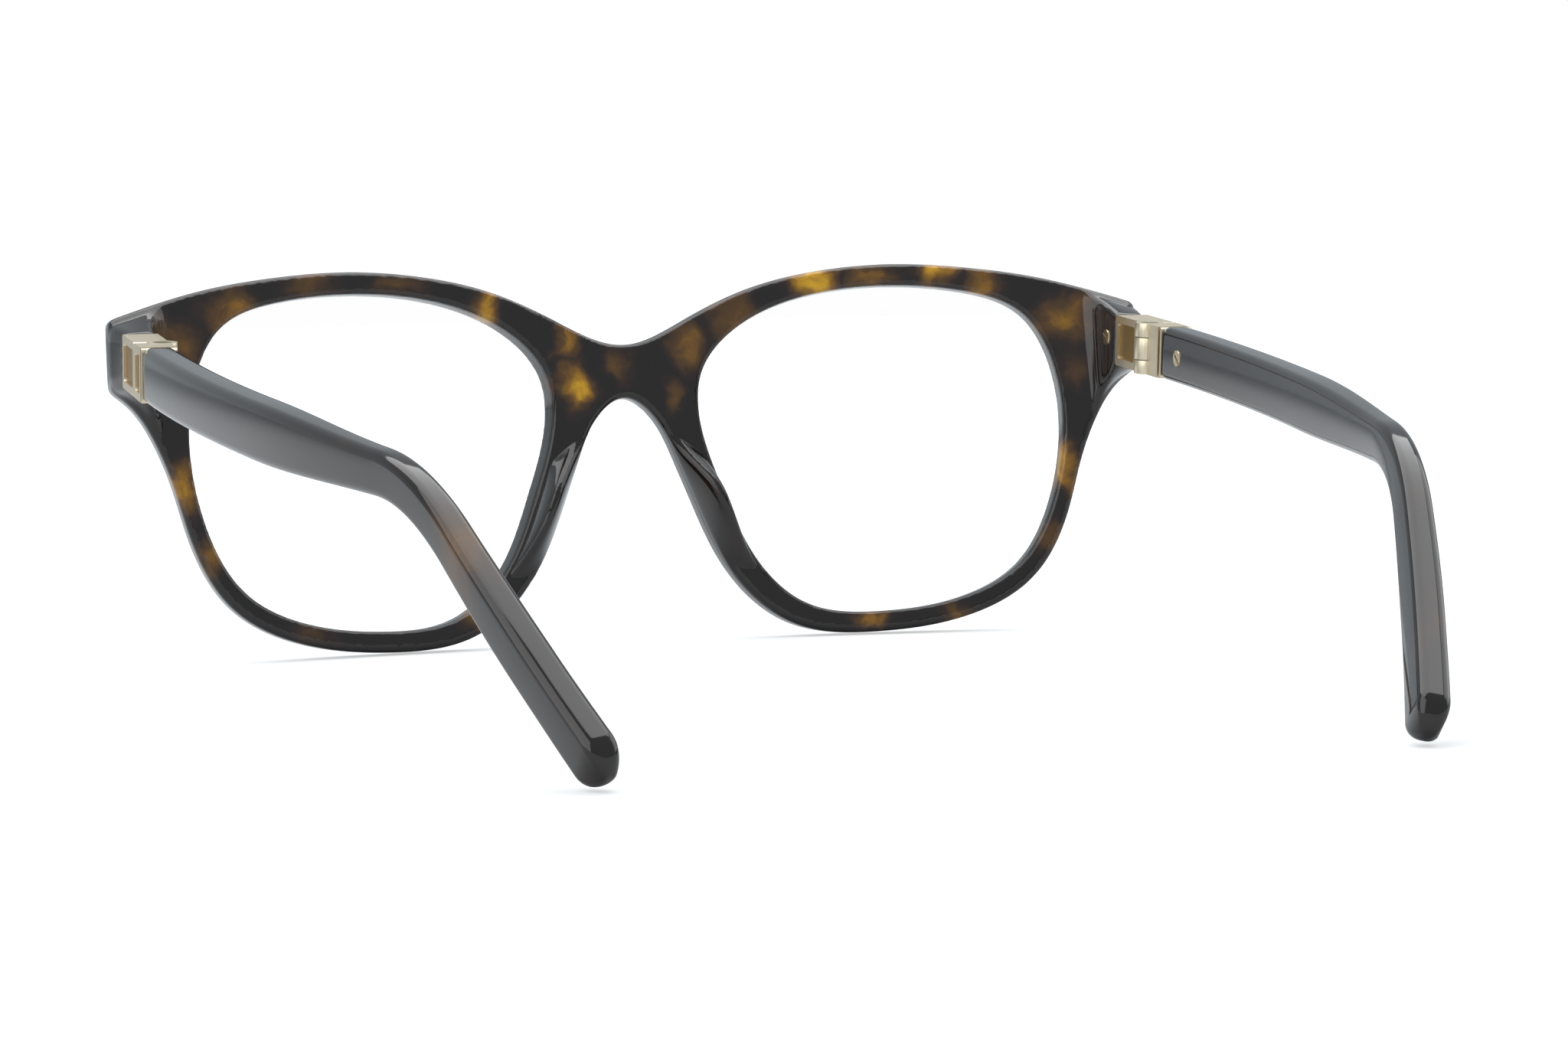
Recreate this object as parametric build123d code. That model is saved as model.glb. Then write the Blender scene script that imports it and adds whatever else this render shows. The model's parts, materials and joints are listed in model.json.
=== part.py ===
from build123d import *
import math
import os

# Acetate eyeglasses frame, millimetres.  X = wearer's left, Y = towards the wearer, Z = up.
# Each piece is drawn in the front's own frame: rear face of the bridge at y = 0 and lens
# centres at z = 0.  Hinges and temples are drawn round the left hinge pin, Y along the temple.
# At the end everything is leaned and lifted to stand on the rims and the temple tips.

# ---- lenses and front ----
opening_width = 50.6          # visible lens opening, across
opening_height = 44.4         # visible lens opening, up and down
bridge_width = 19.8           # between the two openings
wrap_radius = 254.0           # rear face of the front, seen from above
front_thickness = 4.0
rim_side = 2.4                # acetate beside the opening on the temple side
rim_bottom = 2.8
rim_top = 3.0
rim_nose = 4.6
bridge_top = 15.1             # above the lens centres
bridge_under = 7.9
edge_round = 0.7              # polished edges of the brow and the lens openings
groove_depth = 0.6            # lens groove in the rim
groove_width = 1.6
groove_setback = 1.2          # front face to the front side of the groove
lens_thickness = 1.2
lens_gap = 0.05               # between a lens and the bottom of its groove

# ---- end pieces ----
frame_width = 140.8           # over the end pieces
end_top = 18.7                # above the lens centres
end_bottom = 9.6
lug_blend = 3.4               # between the rear face and the inner side of a lug
outer_tuck = 0.9              # hinge's outer side inside the widest point

# ---- hinges ----
hinge_back = 24.2             # pin behind the rear face of the bridge
hinge_height = 11.2           # pin's middle above the lens centres
temple_slope = 11.5           # temples against the front, degrees
block_height = 6.8            # both hinge halves
block_thickness = 4.4
front_half_length = 9.6
temple_half_length = 6.4
block_round = 0.5
half_gap = 0.12               # between the two halves when open
collar_length = 0.5           # thin flange against the temple's acetate
neck_length = 0.7             # groove in front of that flange
neck_depth = 0.5
panel_depth = 0.35            # recessed panels in the sides of both halves
panel_border = 1.0
knuckle_radius = 1.9
knuckle_out = 1.0             # how far the knuckles stand out of the inner side
knuckle_middle = 2.9          # height of the temple's own knuckle
knuckle_play = 0.12           # above, below and around a knuckle
pin_radius = 0.7
pin_play = 0.03
pin_head_radius = 1.15
pin_head_height = 0.9
pin_short = 0.3               # pin ends this far above the lowest knuckle's end
tongue_thickness = 1.2        # plates that reach into the acetate
tongue_height = 4.2
front_tongue_length = 5.4
temple_tongue_length = 8.0
slot_play = 0.05
fixing_radius = 0.6           # screws through the tongues
fixing_head_radius = 1.05
fixing_head_height = 0.6
fixing_stand = 0.15           # screw heads stand this far out of the acetate
fixing_past = 0.8             # screws reach this far past the tongue
front_fixing_at = 3.2         # from a hinge half to its fixing screw
temple_fixing_at = 5.6
driver_slot_width = 0.3
driver_slot_depth = 0.3

# ---- temples ----
temple_length = 138.0         # pin to tip, along the temple
temple_straight = 90.0        # pin to the bend
temple_drop = 37.8            # bend, degrees
bend_radius = 26.0
temple_thickness = 4.2
temple_height = 7.0
temple_curve = 23.8           # the tip lies this far inside the hinge
temple_round = 1.1            # long edges
core_width = 2.6
core_thickness = 1.0
core_play = 0.05
core_start_gap = 0.3          # behind the hinge's tongue
core_tip_gap = 12.0           # core wire ends this far before the tip

# ---- nose pads ----
pad_top = 4.6                 # above the lens centres
pad_bottom = -16.5
pad_depth = 5.2               # stands this far behind the front
pad_margin = 0.8              # between the opening and the pad

# Lens shape as shares of its half width and half height, from the top round by the temple.
LENS_SHAPE = [
    (0.08, 1.0), (0.48, 0.955), (0.80, 0.81), (0.975, 0.42),
    (1.0, 0.10), (0.93, -0.35), (0.73, -0.745), (0.375, -0.945),
    (-0.04, -1.0), (-0.44, -0.93), (-0.72, -0.62), (-0.88, -0.20),
    (-0.985, 0.21), (-0.965, 0.50), (-0.77, 0.76), (-0.375, 0.95),
]

# Temple stations: share of its length, share of its height, share of its thickness.
TEMPLE_SHAPE = [
    (0.0, 1.0, 1.0), (0.41, 0.97, 1.0), (0.70, 0.70, 0.76), (0.90, 0.83, 0.84), (1.0, 0.86, 0.86),
]

half_width = opening_width / 2
half_height = opening_height / 2
lens_tilt = math.asin((bridge_width / 2 + half_width) / wrap_radius)
lens_x = bridge_width / 2 + half_width * math.cos(lens_tilt)
inner_side = knuckle_out - knuckle_radius
outer_side = inner_side + block_thickness
middle_side = (inner_side + outer_side) / 2
pin_x = frame_width / 2 - outer_tuck - outer_side
hinge_place = Location((pin_x, hinge_back, hinge_height), (-temple_slope, 0, 0))


def sag(x):
    """How far back the curved rear face lies at x."""
    return wrap_radius - math.sqrt(wrap_radius ** 2 - x ** 2)


def curved_sheet(near, far):
    """The space between two depths in front of the curved rear face."""
    tall = 3 * opening_height
    outside = Cylinder(wrap_radius + far, tall)
    inside = Cylinder(wrap_radius + near, 2 * tall)
    return Pos(0, wrap_radius, 0) * (outside - inside)


def lens_prism(grow):
    """The left lens outline, larger all round by grow, as a long bar square to the lens."""
    normal = Vector(math.sin(lens_tilt), -math.cos(lens_tilt), 0)
    across = Vector(math.cos(lens_tilt), math.sin(lens_tilt), 0)
    reach = 3 * front_thickness
    behind = Vector(lens_x, sag(lens_x), 0) - normal * reach
    plane = Plane(origin=behind, x_dir=across, z_dir=normal)
    points = [(u * (half_width + grow), v * (half_height + grow)) for u, v in LENS_SHAPE]
    return extrude(plane * make_face(Spline(*points, periodic=True)), amount=2 * reach)


def slab(x, y, z):
    """A box from its lowest and highest x, y and z."""
    centre = Pos((x[0] + x[1]) / 2, (y[0] + y[1]) / 2, (z[0] + z[1]) / 2)
    return centre * Box(x[1] - x[0], y[1] - y[0], z[1] - z[0])


def rod(radius, low, high):
    """A round bar on the hinge pin's line."""
    return Pos(0, 0, (low + high) / 2) * Cylinder(radius, high - low)


def cross_rod(radius, y, near, far):
    """A round bar across the temple, from near to far along x."""
    return Pos((near + far) / 2, y, 0) * Rot(0, 90, 0) * Cylinder(radius, far - near)


def both_sides(points, middle):
    """A left-hand run of points, a middle point and the same run mirrored."""
    return points + [middle] + [(-x, z) for x, z in reversed(points)]


def rim_point(u, v):
    """A point on the left rim's outer edge, beside the lens point with these shares."""
    beside = rim_side if u > 0 else rim_nose
    return lens_x + u * (half_width + beside), v * (half_height + rim_bottom)


def front_outline():
    """The whole front from behind: brow, end pieces, rims, nose and bridge."""
    end_x = frame_width / 2
    brow = half_height + rim_top
    brow_line = [
        (end_x, end_top),
        (lens_x + 0.90 * half_width, brow - 2.5),
        (lens_x + 0.52 * half_width, brow - 0.8),
        (lens_x + 0.12 * half_width, brow),
        (0.80 * lens_x, brow - 0.6),
        (0.52 * lens_x, bridge_top + 0.73 * (brow - bridge_top)),
        (0.26 * lens_x, bridge_top + 0.33 * (brow - bridge_top)),
    ]
    end_curve = [
        (end_x, end_bottom),
        (end_x - 2.2, end_bottom - 1.6),
        (lens_x + 1.17 * half_width, 0.12 * half_height),
        (lens_x + 1.09 * half_width, -0.11 * half_height),
    ]
    rim = [rim_point(u, v) for u, v in LENS_SHAPE[5:12]]
    nose_curve = [(0.35 * bridge_width, -0.03 * half_height), (0.19 * bridge_width, bridge_under - 2.4)]
    top = Spline(*both_sides(brow_line, (0, bridge_top)))
    under = Spline(*both_sides(end_curve + rim + nose_curve, (0, bridge_under)))
    left_end = Line((end_x, end_top), (end_x, end_bottom))
    right_end = Line((-end_x, end_top), (-end_x, end_bottom))
    return make_face(Wire([top, left_end, under, right_end]))


def front_prism():
    """The front's outline as a long bar, square to the bridge."""
    plane = Plane.XZ.offset(-hinge_back)
    return extrude(plane * front_outline(), amount=2 * hinge_back)


def lug():
    """Acetate of the left end piece, from the front back to the hinge."""
    back = hinge_place * Pos(0, -front_half_length, -block_height / 2)
    back_top = hinge_place * Pos(0, -front_half_length, block_height / 2)
    root = sag(frame_width / 2) - 0.8 * front_thickness
    profile = Polyline(
        (root, end_bottom), (back.position.Y, back.position.Z),
        (back_top.position.Y, back_top.position.Z), (root, end_top), close=True,
    )
    side_view = extrude(Plane.YZ * make_face(profile), amount=frame_width)
    inner = pin_x + inner_side
    outer = pin_x + outer_side
    behind = hinge_back
    blend_x = inner - lug_blend
    blend_y = sag(inner) + lug_blend
    plan = Wire([
        Line((frame_width / 2, root), (frame_width / 2, sag(frame_width / 2))),
        Line((frame_width / 2, sag(frame_width / 2)), (outer, back.position.Y)),
        Line((outer, back.position.Y), (outer, behind)),
        Line((outer, behind), (inner, behind)),
        Line((inner, behind), (inner, blend_y)),
        TangentArc((inner, blend_y), (blend_x, sag(blend_x)), tangent=(0, -1)),
        Line((blend_x, sag(blend_x)), (blend_x, sag(blend_x) - 0.5 * front_thickness)),
        Line((blend_x, sag(blend_x) - 0.5 * front_thickness), (frame_width / 2, root)),
    ])
    top_view = extrude(make_face(plan), amount=2 * opening_height, both=True)
    return side_view & top_view


def tongue_slot(start, length, direction):
    """The space that a hinge tongue fills in the acetate, with its play."""
    wide = tongue_thickness / 2 + slot_play
    tall = tongue_height / 2 + slot_play
    ends = sorted((start - direction * 0.1, start + direction * (length + slot_play)))
    return slab((middle_side - wide, middle_side + wide), ends, (-tall, tall))


def fixing_hole(y, face):
    """Hole for a fixing screw, with a seat for its head in the inner face."""
    head_floor = face - fixing_stand + fixing_head_height
    end = middle_side + tongue_thickness / 2 + fixing_past + slot_play
    head = cross_rod(fixing_head_radius + slot_play, y, face - 2.0, head_floor)
    shank = cross_rod(fixing_radius + slot_play, y, head_floor - 0.1, end)
    return head + shank


def front_frame():
    """The acetate front with its lens grooves, end pieces and hinge slots."""
    plate = front_prism() & curved_sheet(0, front_thickness)
    opening = lens_prism(0)
    plate -= [opening, opening.mirror(Plane.YZ)]
    polished = [edge for edge in plate.edges() if bridge_width < edge.length < 1.2 * frame_width]
    plate = fillet(polished, edge_round)
    groove = lens_prism(groove_depth) & curved_sheet(
        front_thickness - groove_setback - groove_width, front_thickness - groove_setback
    )
    start = -front_half_length
    cut = tongue_slot(start, front_tongue_length, -1)
    cut += fixing_hole(start - front_fixing_at, inner_side)
    cut = hinge_place * cut
    left_lug = lug()
    plate += [left_lug, left_lug.mirror(Plane.YZ)]
    return plate - [groove, groove.mirror(Plane.YZ), cut, cut.mirror(Plane.YZ)]


def lens():
    """The left demonstration lens, held in its groove."""
    middle = front_thickness - groove_setback - groove_width / 2
    sheet = curved_sheet(middle - lens_thickness / 2, middle + lens_thickness / 2)
    return lens_prism(groove_depth - lens_gap) & sheet


def nose_pad():
    """The left nose pad, bonded to the rear of the rim."""
    footprint = front_prism() - lens_prism(pad_margin)
    reach = pad_depth + front_thickness
    band = slab((0, lens_x), (-reach, 2 * reach), (pad_bottom, pad_top))
    chord = (pad_top - pad_bottom) / 2
    radius = (chord ** 2 + pad_depth ** 2) / (2 * pad_depth)
    hump = Pos(0, pad_depth - radius, (pad_top + pad_bottom) / 2) * Rot(0, 90, 0)
    hump = hump * Cylinder(radius, 4 * lens_x)
    behind = Pos(0, wrap_radius, 0) * Cylinder(wrap_radius, 3 * opening_height)
    return footprint & band & hump & behind


def hinge_body(y_low, y_high):
    """A plain hinge half with rounded upright edges."""
    high = block_height / 2
    body = slab((inner_side, outer_side), (y_low, y_high), (-high, high))
    return fillet(body.edges().filter_by(Axis.X), block_round)


def panel(side, y_low, y_high):
    """A shallow panel to be cut in one side of a hinge half."""
    tall = block_height / 2 - panel_border
    corner = 0.4
    if side > 0:
        cut = slab((outer_side - panel_depth, outer_side + 1), (y_low, y_high), (-tall, tall))
    else:
        cut = slab((inner_side - 1, inner_side + panel_depth), (y_low, y_high), (-tall, tall))
    return fillet(cut.edges().filter_by(Axis.X), corner)


def tongue(start, length, direction, fixing_at):
    """The plate of a hinge half that reaches into the acetate."""
    wide = tongue_thickness / 2
    tall = tongue_height / 2
    ends = sorted((start, start + direction * length))
    plate = slab((middle_side - wide, middle_side + wide), ends, (-tall, tall))
    y = start + direction * fixing_at
    return plate - cross_rod(fixing_radius, y, middle_side - 2 * wide, middle_side + 2 * wide)


def front_hinge_half():
    """Gilt hinge half on the front, with the upper and lower knuckles."""
    half = block_height / 2
    gap = knuckle_middle / 2 + knuckle_play
    start = -front_half_length
    body = hinge_body(start, -half_gap / 2)
    body -= panel(1, start + panel_border, -half_gap / 2 - panel_border)
    body -= panel(-1, start + panel_border, -knuckle_radius - panel_border)
    body -= rod(knuckle_radius + knuckle_play, -gap, gap)
    body += rod(knuckle_radius, gap, half) + rod(knuckle_radius, -half, -gap)
    body -= rod(pin_radius + pin_play, -half - 1, half + 1)
    body -= rod(pin_head_radius + pin_play, half - pin_head_height, half + 1)
    return body + tongue(start, front_tongue_length, -1, front_fixing_at)


def temple_hinge_half():
    """Gilt hinge half on the temple, with the middle knuckle."""
    half = block_height / 2
    gap = knuckle_middle / 2
    end = temple_half_length
    body = hinge_body(half_gap / 2, end)
    neck = (end - collar_length - neck_length, end - collar_length)
    ring = slab((inner_side - 1, outer_side + 1), neck, (-half - 1, half + 1))
    core = slab(
        (inner_side + neck_depth, outer_side - neck_depth),
        (0, 2 * end),
        (-half + neck_depth, half - neck_depth),
    )
    body -= ring - core
    body -= panel(1, half_gap / 2 + panel_border, neck[0] - 0.8 * panel_border)
    for low, high in ((gap, half + 1), (-half - 1, -gap)):
        body -= rod(knuckle_radius + knuckle_play, low, high)
    body += rod(knuckle_radius, -gap, gap)
    body -= rod(pin_radius + pin_play, -half - 1, half + 1)
    return body + tongue(end, temple_tongue_length, 1, temple_fixing_at)


def driver_slot(radius):
    """The slot in a screw's head, on the head's own top face."""
    return Box(3 * radius, driver_slot_width, 2 * driver_slot_depth)


def hinge_pin():
    """Slotted screw that the temple turns on."""
    half = block_height / 2
    shank = rod(pin_radius, -half + pin_short, half - pin_head_height)
    head = rod(pin_head_radius, half - pin_head_height, half)
    slot = Pos(0, 0, half) * Rot(0, 0, 35) * driver_slot(pin_head_radius)
    return shank + head - slot


def fixing_screw(y, face):
    """Slotted screw through a tongue, its head seated in the inner face."""
    top = face - fixing_stand
    floor = top + fixing_head_height
    end = middle_side + tongue_thickness / 2 + fixing_past
    head = cross_rod(fixing_head_radius, y, top, floor)
    shank = cross_rod(fixing_radius - slot_play / 2, y, floor, end)
    slot = Pos(top, y, 0) * Rot(50, 0, 0) * Rot(0, 90, 0) * driver_slot(fixing_head_radius)
    return head + shank - slot


def temple_point(u):
    """A point on the temple's middle line, u along it from the pin."""
    bend = math.radians(temple_drop)
    arc = bend_radius * bend
    turned = min(max((u - temple_straight) / bend_radius, 0), bend)
    rest = max(u - temple_straight - arc, 0)
    y = min(u, temple_straight) + bend_radius * math.sin(turned) + rest * math.cos(bend)
    z = -bend_radius * (1 - math.cos(turned)) - rest * math.sin(bend)
    x = middle_side - temple_curve * (u / temple_length) ** 2
    return Vector(x, y, z)


def temple_plane(u):
    """A plane square to the temple there, its x across and its y up the temple."""
    step = 0.5
    along = (temple_point(u + step) - temple_point(u - step)).normalized()
    across = Vector(1, 0, 0) - along * along.X
    return Plane(origin=temple_point(u), x_dir=across.normalized(), z_dir=along)


def temple_size(u):
    """Height and thickness of the temple there, smoothly between its stations."""
    share = u / temple_length
    before = [row for row in TEMPLE_SHAPE if row[0] <= share][-1]
    after = [row for row in TEMPLE_SHAPE if row[0] >= share][0]
    part = (share - before[0]) / max(after[0] - before[0], 0.001)
    ease = (1 - math.cos(math.pi * part)) / 2
    tall = before[1] + (after[1] - before[1]) * ease
    thick = before[2] + (after[2] - before[2]) * ease
    return tall * temple_height, thick * temple_thickness


def temple_blank():
    """The temple's outer shape, from the hinge to the rounded tip."""
    count = 18
    sections = []
    for index in range(count + 1):
        u = temple_half_length + (temple_length - temple_half_length) * index / count
        height, thickness = temple_size(u)
        sections.append(temple_plane(u) * Rectangle(thickness, height))
    blank = loft(sections)
    long_edges = [edge for edge in blank.edges() if edge.length > 2 * temple_height]
    return fillet(long_edges, temple_round) - tip_corners()


def tip_corners():
    """What is cut away to round the temple's tip."""
    radius = TEMPLE_SHAPE[-1][1] * temple_height / 2
    centre = temple_plane(temple_length - radius).location
    wide = 2 * temple_thickness
    block = Pos(0, 0, radius) * Box(wide, 4 * radius, 2 * radius)
    return centre * (block - Rot(0, 90, 0) * Cylinder(radius, 2 * wide))


def core_bar(play, start):
    """A flat bar along the temple's middle, from start to short of the tip."""
    end = temple_length - core_tip_gap + play
    count = 12
    sections = []
    for index in range(count + 1):
        u = start + (end - start) * index / count
        size = Rectangle(core_thickness + 2 * play, core_width + 2 * play)
        sections.append(temple_plane(u) * size)
    return loft(sections)


def temple():
    """The left temple, with its tongue slot, screw hole and core channel."""
    start = temple_half_length
    slot_end = start + temple_tongue_length
    body = temple_blank()
    body -= slab((inner_side - 2, outer_side + 2), (0, start), (-temple_height, temple_height))
    body -= tongue_slot(start, temple_tongue_length, 1)
    body -= fixing_hole(start + temple_fixing_at, temple_inner_face())
    return body - core_bar(core_play, slot_end - 0.5)


def temple_inner_face():
    """The temple's inner face beside its fixing screw."""
    place = temple_point(temple_half_length + temple_fixing_at)
    return place.X - temple_thickness / 2


def core_wire():
    """The flat metal wire inside the temple."""
    start = temple_half_length + temple_tongue_length + core_start_gap
    return core_bar(0, start)


def left_parts():
    """Every left-hand piece, in the front's frame."""
    front_screw_at = -front_half_length - front_fixing_at
    temple_screw_at = temple_half_length + temple_fixing_at
    at_hinge = {
        "front_hinge_half": front_hinge_half(),
        "temple_hinge_half": temple_hinge_half(),
        "hinge_screw": hinge_pin(),
        "end_piece_screw": fixing_screw(front_screw_at, inner_side),
        "temple_screw": fixing_screw(temple_screw_at, temple_inner_face()),
        "temple": temple(),
        "core_wire": core_wire(),
    }
    parts = {name: hinge_place * part for name, part in at_hinge.items()}
    parts["lens"] = lens()
    parts["nose_pad"] = nose_pad()
    return parts


def standing_place(front, left_temple):
    """Lean and lift that stand the frame on its rims and temple tips, centred over the origin."""
    lean = 0.0
    reach = left_temple.bounding_box().max.Y
    for _ in range(5):
        turn = Rot(lean, 0, 0)
        front_low = (turn * front).bounding_box().min.Z
        tip_low = (turn * left_temple).bounding_box().min.Z
        lean += math.degrees(math.atan2(front_low - tip_low, reach))
    turn = Rot(lean, 0, 0)
    front_box = (turn * front).bounding_box()
    temple_box = (turn * left_temple).bounding_box()
    middle = (front_box.min.Y + temple_box.max.Y) / 2
    low = min(front_box.min.Z, temple_box.min.Z)
    return Pos(0, -middle, -low) * turn


def build():
    """Every piece by name, where it stands."""
    left = left_parts()
    parts = {"front_frame": front_frame()}
    for name, part in left.items():
        parts[name + "_left"] = part
        parts[name + "_right"] = part.mirror(Plane.YZ)
    place = standing_place(parts["front_frame"], parts["temple_left"])
    return {name: place * part for name, part in parts.items()}, place


def main():
    """Write one STEP file for each piece."""
    os.makedirs("parts", exist_ok=True)
    parts, place = build()
    for name, part in parts.items():
        solids = part.solids()
        shape = solids[0] if len(solids) == 1 else Compound(children=list(solids))
        export_step(shape, "parts/" + name + ".step")
        print(name, len(solids), round(shape.volume, 2))
    pin = place * hinge_place
    print("stands", place.position, place.orientation)
    print("left pin at", pin.position, "turned", pin.orientation)


main()
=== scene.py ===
import json
import logging
import math
from dataclasses import dataclass, field
from enum import Enum
from typing import Any, Iterable, Sequence

import bmesh
import bpy
import numpy as np
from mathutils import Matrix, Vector
from mathutils.geometry import delaunay_2d_cdt


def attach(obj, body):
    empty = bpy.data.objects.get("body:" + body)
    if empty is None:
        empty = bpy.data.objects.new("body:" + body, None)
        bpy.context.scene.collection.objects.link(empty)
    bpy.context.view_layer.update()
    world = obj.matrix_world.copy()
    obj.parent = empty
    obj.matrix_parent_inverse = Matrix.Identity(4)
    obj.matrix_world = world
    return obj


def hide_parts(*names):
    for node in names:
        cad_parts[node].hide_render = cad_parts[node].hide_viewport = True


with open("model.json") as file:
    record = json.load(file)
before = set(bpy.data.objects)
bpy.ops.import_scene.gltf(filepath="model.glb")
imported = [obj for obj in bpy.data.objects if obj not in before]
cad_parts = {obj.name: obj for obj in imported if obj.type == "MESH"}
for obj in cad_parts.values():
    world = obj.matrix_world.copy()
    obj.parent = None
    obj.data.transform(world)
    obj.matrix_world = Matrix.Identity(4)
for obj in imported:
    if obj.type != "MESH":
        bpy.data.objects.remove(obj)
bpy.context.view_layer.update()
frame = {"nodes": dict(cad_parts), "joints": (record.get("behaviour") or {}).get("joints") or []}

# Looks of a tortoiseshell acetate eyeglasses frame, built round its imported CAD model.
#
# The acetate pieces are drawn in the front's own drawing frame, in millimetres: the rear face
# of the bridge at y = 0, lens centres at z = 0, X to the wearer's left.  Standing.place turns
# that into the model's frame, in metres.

LOG = logging.getLogger("eyeglasses")
MM = 0.001
Colour = tuple[float, float, float]

# Drawing sizes that several pieces share, in millimetres and degrees.
HINGE_PIN = (66.0, 24.2, 11.2)
TEMPLE_SLOPE = 11.5
EDGE_STEP = 0.3
SPAN_SAMPLES = 24
WELD_REACH = 0.001
HINGE_BREAK = 0.09
SCREW_BREAK = 0.05
BREAK_ANGLE = 35.0


class Side(Enum):
    """Which side of the wearer a piece is on."""

    LEFT = 1
    RIGHT = -1

    @property
    def word(self) -> str:
        """The side's name as the CAD nodes spell it."""
        return self.name.lower()

    @property
    def body(self) -> str:
        """The CAD body that this side's temple belongs to."""
        return f"{self.word}_temple"


class Polish(Enum):
    """How bright a metal surface is finished."""

    SATIN = 0.30
    BRIGHT = 0.16
    DRAWN = 0.38


# ---------------------------------------------------------------- shader maths


@dataclass(frozen=True)
class Value:
    """A number socket that Python's operators work on."""

    bench: "Bench"
    socket: bpy.types.NodeSocket

    def maths(self, operation: str, other: Any) -> "Value":
        """Add one Math node.

        Args:
            operation: Blender's name of the operation.
            other: The second value, a number or a Value.

        Returns:
            The node's result.
        """
        node = self.bench.add("ShaderNodeMath", {"operation": operation}, {0: self, 1: other})
        return Value(self.bench, node.outputs[0])

    def __add__(self, other: Any) -> "Value":
        """Sum."""
        return self.maths("ADD", other)

    def __mul__(self, other: Any) -> "Value":
        """Product."""
        return self.maths("MULTIPLY", other)

    __radd__ = __add__
    __rmul__ = __mul__

    def __pow__(self, other: Any) -> "Value":
        """Power."""
        return self.maths("POWER", other)

    def __abs__(self) -> "Value":
        """Size without its sign."""
        return self.maths("ABSOLUTE", 0.0)

    def most(self, other: Any) -> "Value":
        """The larger of two values."""
        return self.maths("MAXIMUM", other)

    def step(self, low: float, high: float) -> "Value":
        """A smooth step from 0 at low to 1 at high.

        Args:
            low: Where the step starts.
            high: Where it ends; below low it runs downwards.

        Returns:
            The step's value, from 0 to 1.
        """
        settings = {"interpolation_type": "SMOOTHSTEP"}
        if low < high:
            inputs = {"Value": self, "From Min": low, "From Max": high}
        else:
            inputs = {"Value": self, "From Min": high, "From Max": low, "To Min": 1.0, "To Max": 0.0}
        node = self.bench.add("ShaderNodeMapRange", settings, inputs)
        return Value(self.bench, node.outputs["Result"])


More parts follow.
